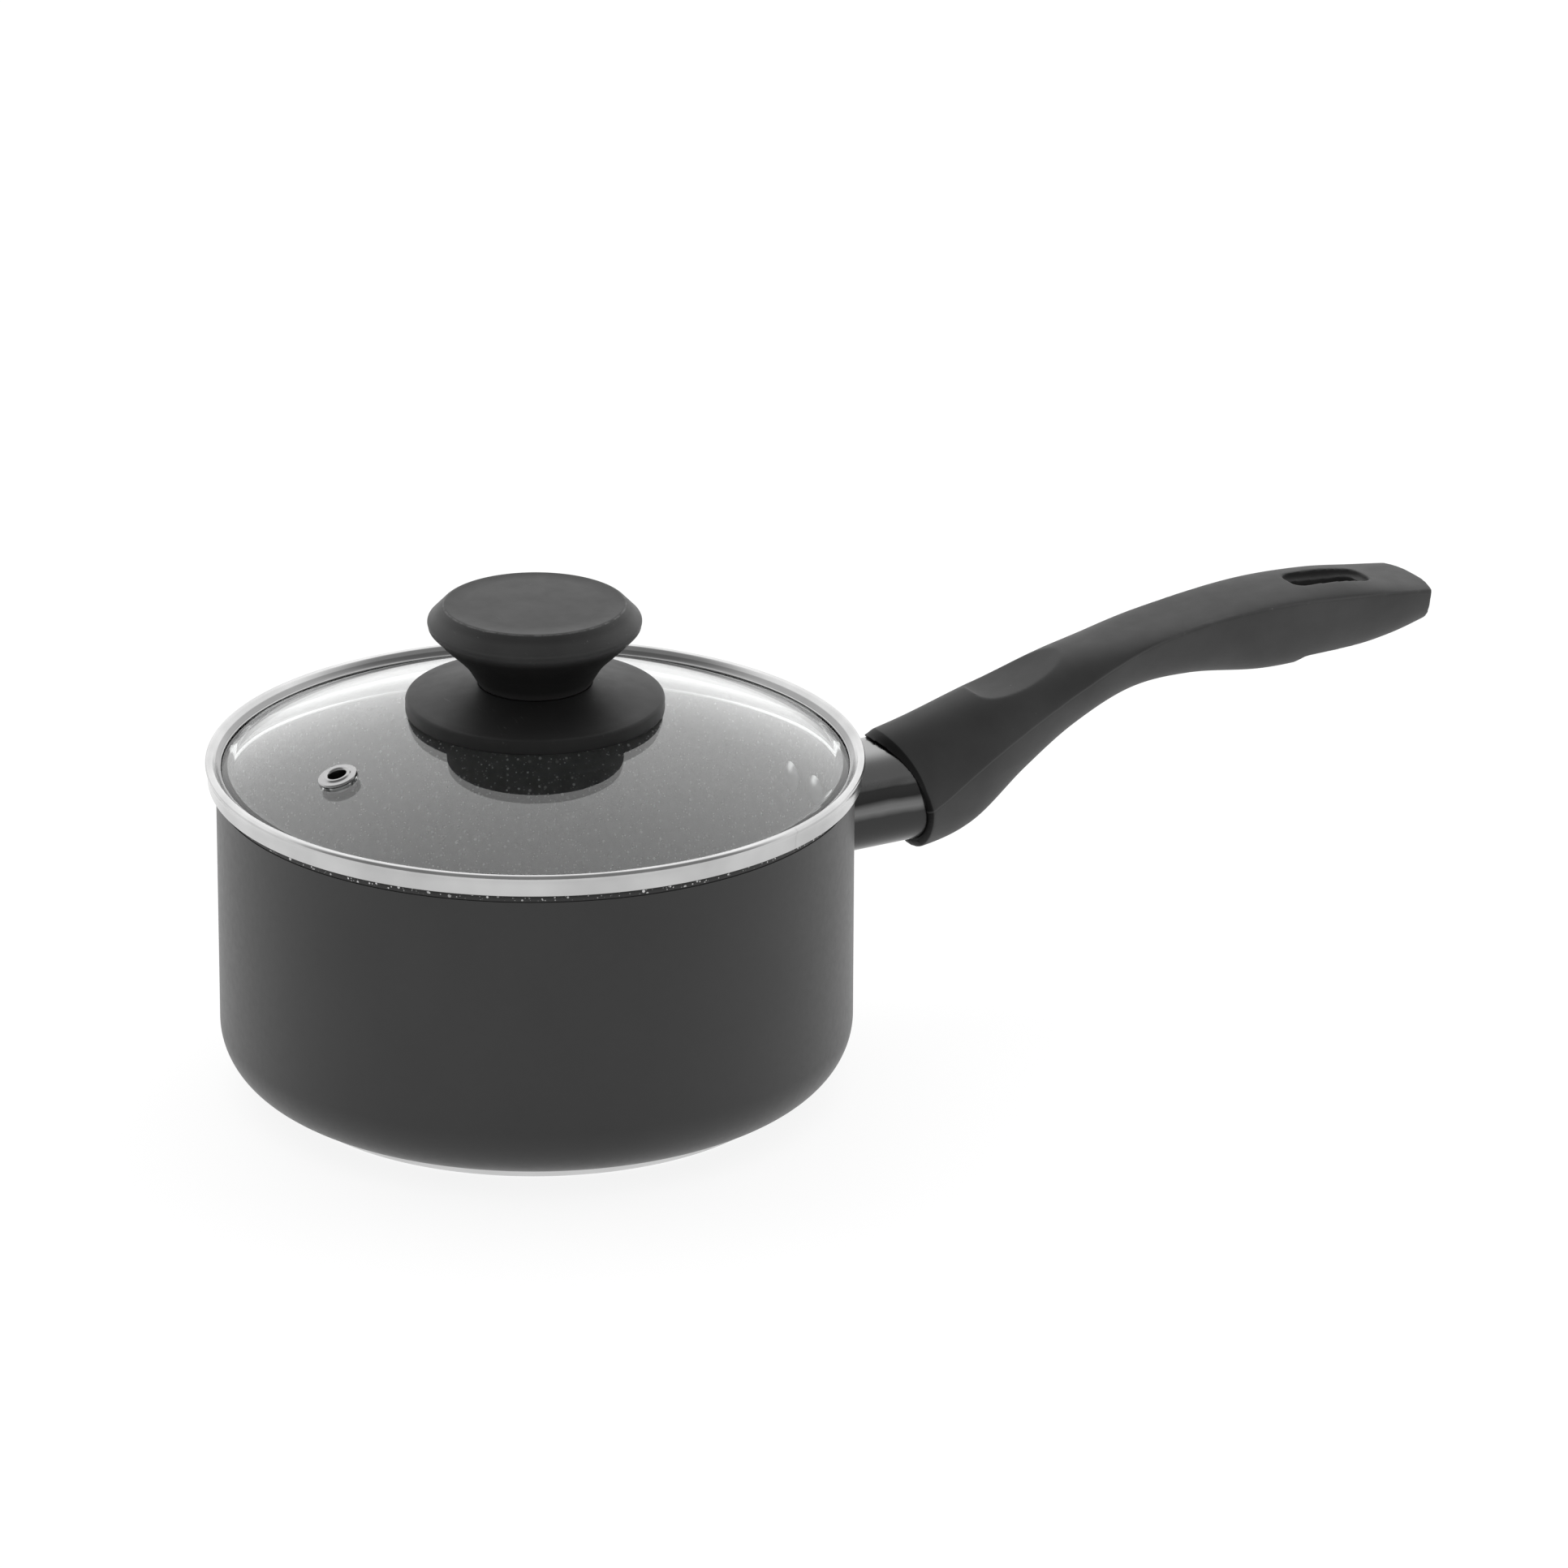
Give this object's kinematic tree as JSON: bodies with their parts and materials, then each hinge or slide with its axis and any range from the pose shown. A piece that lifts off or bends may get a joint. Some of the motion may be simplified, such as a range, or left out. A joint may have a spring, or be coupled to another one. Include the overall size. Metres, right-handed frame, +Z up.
{
  "type": "saucepan with glass lid",
  "caption": "Small dark non-stick saucepan with a long moulded grip and a steel-rimmed domed glass lid that lifts off by its mushroom knob.",
  "frame": {"origin": "centre of the underside of the base disc", "axes": "+X along the handle away from the pan, +Z up along the pan's and lid's axis"},
  "size_m": [0.3533, 0.1696, 0.1306],
  "materials": {
    "pan_coating": "matt dark grey enamel outside, speckled non-stick coating inside, on aluminium",
    "base_steel": "satin, turned",
    "plated_steel": "zinc plated",
    "rivet_aluminium": "satin",
    "ferrule_lacquer": "satin black lacquer on sheet metal",
    "grip_bakelite": "fine matt moulded grain",
    "rim_steel": "satin rolled stainless steel",
    "lid_glass": "clear toughened glass",
    "vent_steel": "polished stainless steel",
    "knob_bakelite": "matt moulded bakelite with fine handling scratches",
    "insert_brass": "turned",
    "bush_silicone": "translucent white silicone"
  },
  "bodies": {
    "pan": {"pan_body": "pan_coating", "base_disc": "base_steel", "handle_bracket": "plated_steel", "bracket_rivets": "rivet_aluminium", "ferrule": "ferrule_lacquer", "handle_grip": "grip_bakelite", "handle_screw": "plated_steel", "handle_lock_washer": "plated_steel", "handle_nut": "plated_steel"},
    "lid": {"lid_rim": "rim_steel", "lid_glass": "lid_glass", "vent_eyelet": "vent_steel", "vent_collar": "vent_steel", "knob_skirt": "knob_bakelite", "knob": "knob_bakelite", "knob_insert": "insert_brass", "knob_screw": "plated_steel", "knob_washer": "plated_steel", "knob_lock_washer": "plated_steel", "glass_bush": "bush_silicone"}
  },
  "joints": [
    {"name": "lid_lift", "type": "slide", "parent": "pan", "child": "lid", "axis": [0, 0, 1], "range_m": [0, 0.12]}
  ]
}
